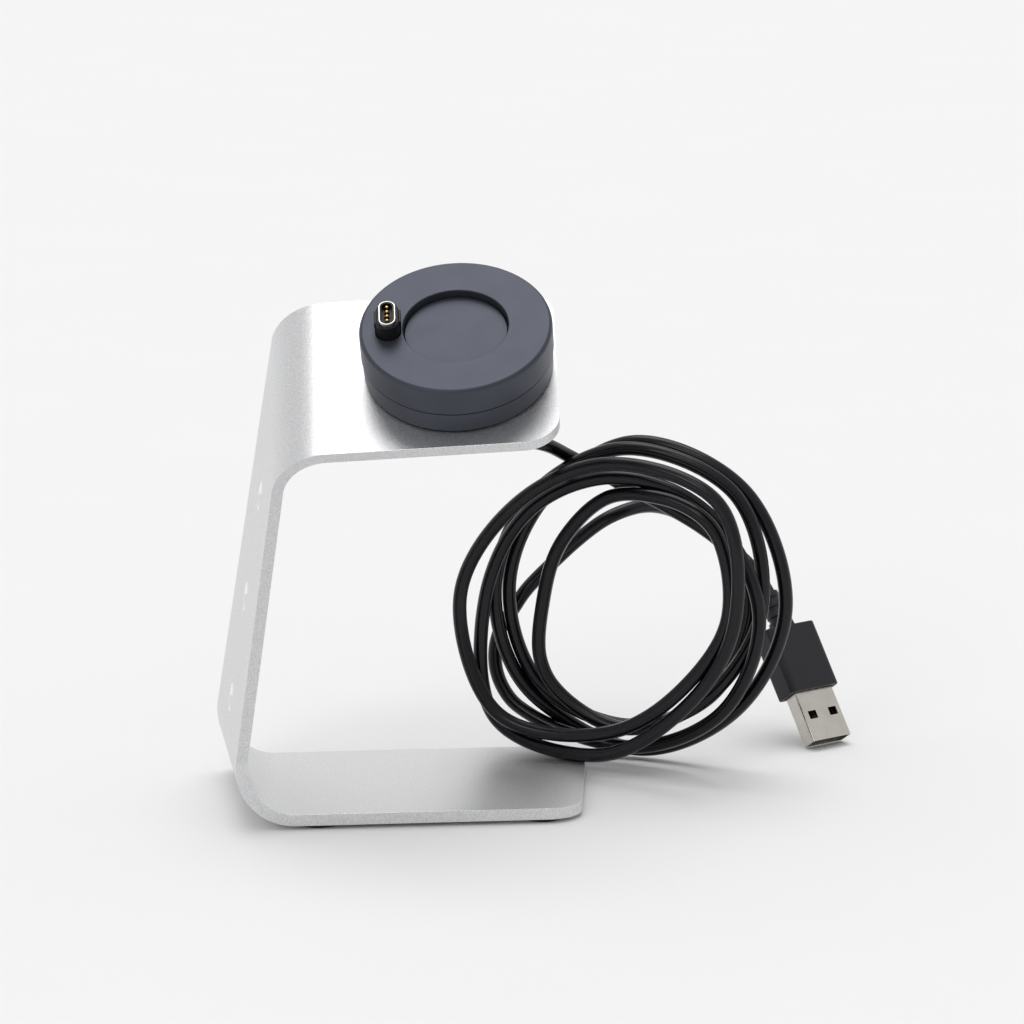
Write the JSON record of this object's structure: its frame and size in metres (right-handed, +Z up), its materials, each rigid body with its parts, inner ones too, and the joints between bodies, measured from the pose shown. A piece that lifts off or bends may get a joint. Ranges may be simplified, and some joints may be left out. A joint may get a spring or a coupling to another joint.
{
  "type": "smartwatch charging stand",
  "caption": "Bent sheet-metal stand holding a round charging puck with spring contacts on a tilted plate, its USB lead wound in a loose coil beside it.",
  "frame": {"origin": "on the table, under the middle of the stand's own box, which leaves out the free lead and its plug", "axes": "+Z up; +X from the upright wall towards the open side of the C; +Y from the front, which the puck faces, to the back"},
  "size_m": [0.1559, 0.0952, 0.1271],
  "materials": {
    "bracket_metal": "bead blasted and silver anodised, with bright chamfered edges",
    "foot_rubber": "matte",
    "puck_plastic": "fine matte grain",
    "black_plastic": "satin",
    "rim_metal": "bright",
    "plug_metal": "nickel plated, finely drawn",
    "screw_steel": "zinc plated",
    "contact_gold": "gold plated",
    "board_green": "solder resist",
    "tape_black": "foam tape",
    "lead_jacket": "soft, semi-gloss"
  },
  "bodies": {
    "stand": {"stand_bracket": "bracket_metal", "foot_front_left": "foot_rubber", "foot_front_right": "foot_rubber", "foot_back_left": "foot_rubber", "foot_back_right": "foot_rubber", "adhesive_ring": "tape_black", "puck_lower_shell": "puck_plastic", "puck_upper_shell": "puck_plastic", "recess_insert": "puck_plastic", "shell_screw_1": "screw_steel", "shell_screw_2": "screw_steel", "shell_screw_3": "screw_steel", "circuit_board": "board_green", "connector_housing": "black_plastic", "connector_rim": "rim_metal", "pin_block": "black_plastic", "side_tab_left": "black_plastic", "side_tab_right": "black_plastic", "pin_barrel_1": "contact_gold", "pin_barrel_2": "contact_gold", "pin_barrel_3": "contact_gold", "pin_barrel_4": "contact_gold", "pin_spring_1": "screw_steel", "pin_spring_2": "screw_steel", "pin_spring_3": "screw_steel", "pin_spring_4": "screw_steel", "gland_nut": "black_plastic", "lead_boot": "black_plastic", "lead_inside": "lead_jacket", "lead_free": "lead_jacket", "lead_coil": "lead_jacket", "lead_tail": "lead_jacket", "plug_boot": "black_plastic", "plug_grip": "black_plastic", "plug_shell": "plug_metal", "plug_tongue": "black_plastic", "plug_contact_1": "contact_gold", "plug_contact_2": "contact_gold", "plug_contact_3": "contact_gold", "plug_contact_4": "contact_gold"},
    "pin_1": {"spring_pin_1": "contact_gold"},
    "pin_2": {"spring_pin_2": "contact_gold"},
    "pin_3": {"spring_pin_3": "contact_gold"},
    "pin_4": {"spring_pin_4": "contact_gold"}
  },
  "joints": [
    {"name": "pin_1_press", "type": "slide", "parent": "stand", "child": "pin_1", "axis": [0.1025, 0.5176, -0.8495], "range_m": [0, 0.0008], "stiffness_N_per_m": 200, "springref_m": -0.0005, "deforming": ["pin_spring_1"]},
    {"name": "pin_2_press", "type": "slide", "parent": "stand", "child": "pin_2", "axis": [0.1025, 0.5176, -0.8495], "range_m": [0, 0.0008], "stiffness_N_per_m": 200, "springref_m": -0.0005, "deforming": ["pin_spring_2"]},
    {"name": "pin_3_press", "type": "slide", "parent": "stand", "child": "pin_3", "axis": [0.1025, 0.5176, -0.8495], "range_m": [0, 0.0008], "stiffness_N_per_m": 200, "springref_m": -0.0005, "deforming": ["pin_spring_3"]},
    {"name": "pin_4_press", "type": "slide", "parent": "stand", "child": "pin_4", "axis": [0.1025, 0.5176, -0.8495], "range_m": [0, 0.0008], "stiffness_N_per_m": 200, "springref_m": -0.0005, "deforming": ["pin_spring_4"]}
  ]
}
